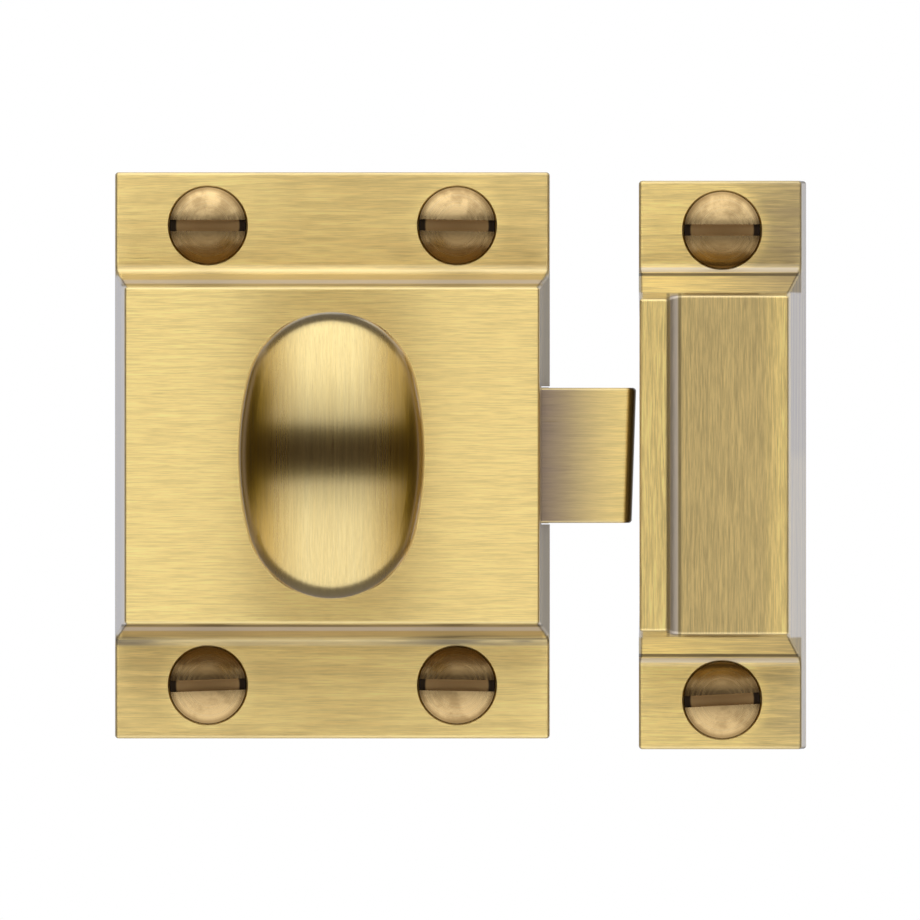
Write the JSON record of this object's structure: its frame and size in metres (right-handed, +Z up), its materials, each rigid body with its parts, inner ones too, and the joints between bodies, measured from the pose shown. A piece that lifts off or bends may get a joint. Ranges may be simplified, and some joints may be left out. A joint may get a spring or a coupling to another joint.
{
  "type": "cupboard catch latch",
  "caption": "Rim cupboard latch: brass case with an oval turn knob that draws a sprung bevelled bolt, and a hooded keep, fixed by slotted wood screws.",
  "frame": {"origin": "middle of the case's back face, which lies on the door", "axes": "+Z up as fixed on a door, +X from the case to the keep, +Y into the door, so the knob stands out along -Y"},
  "size_m": [0.0611, 0.041, 0.0509],
  "materials": {
    "satin_brass": "brushed and lacquered, worn bright at the edges",
    "screw_brass": "turned, toned brown",
    "inner_brass": "as machined",
    "spring_steel": "drawn wire and bright turned steel"
  },
  "bodies": {
    "case_and_keep": {"case": "satin_brass", "back_plate": "inner_brass", "back_plate_screws": "spring_steel", "case_screws": "screw_brass", "bolt_spring": "spring_steel", "spring_pin": "spring_steel", "keep": "satin_brass", "keep_screws": "screw_brass"},
    "knob": {"oval_knob": "satin_brass", "spindle": "spring_steel", "follower": "inner_brass", "follower_washer": "spring_steel", "follower_screw": "spring_steel"},
    "bolt": {"latch_bolt": "satin_brass"}
  },
  "joints": [
    {"name": "knob_turn", "type": "hinge", "parent": "case_and_keep", "child": "knob", "pos_m": [0, -0.011, 0], "axis": [0, 1, 0], "range_deg": [0, 50]},
    {"name": "bolt_slide", "type": "slide", "parent": "case_and_keep", "child": "bolt", "axis": [1, 0, 0], "range_m": [-0.0075, 0], "stiffness_N_per_m": 200, "springref_m": 0.005, "deforming": ["bolt_spring"]}
  ],
  "couplings": [
    {"joint": "knob_turn", "follows": "bolt_slide", "rad_per_m": -116.36}
  ]
}
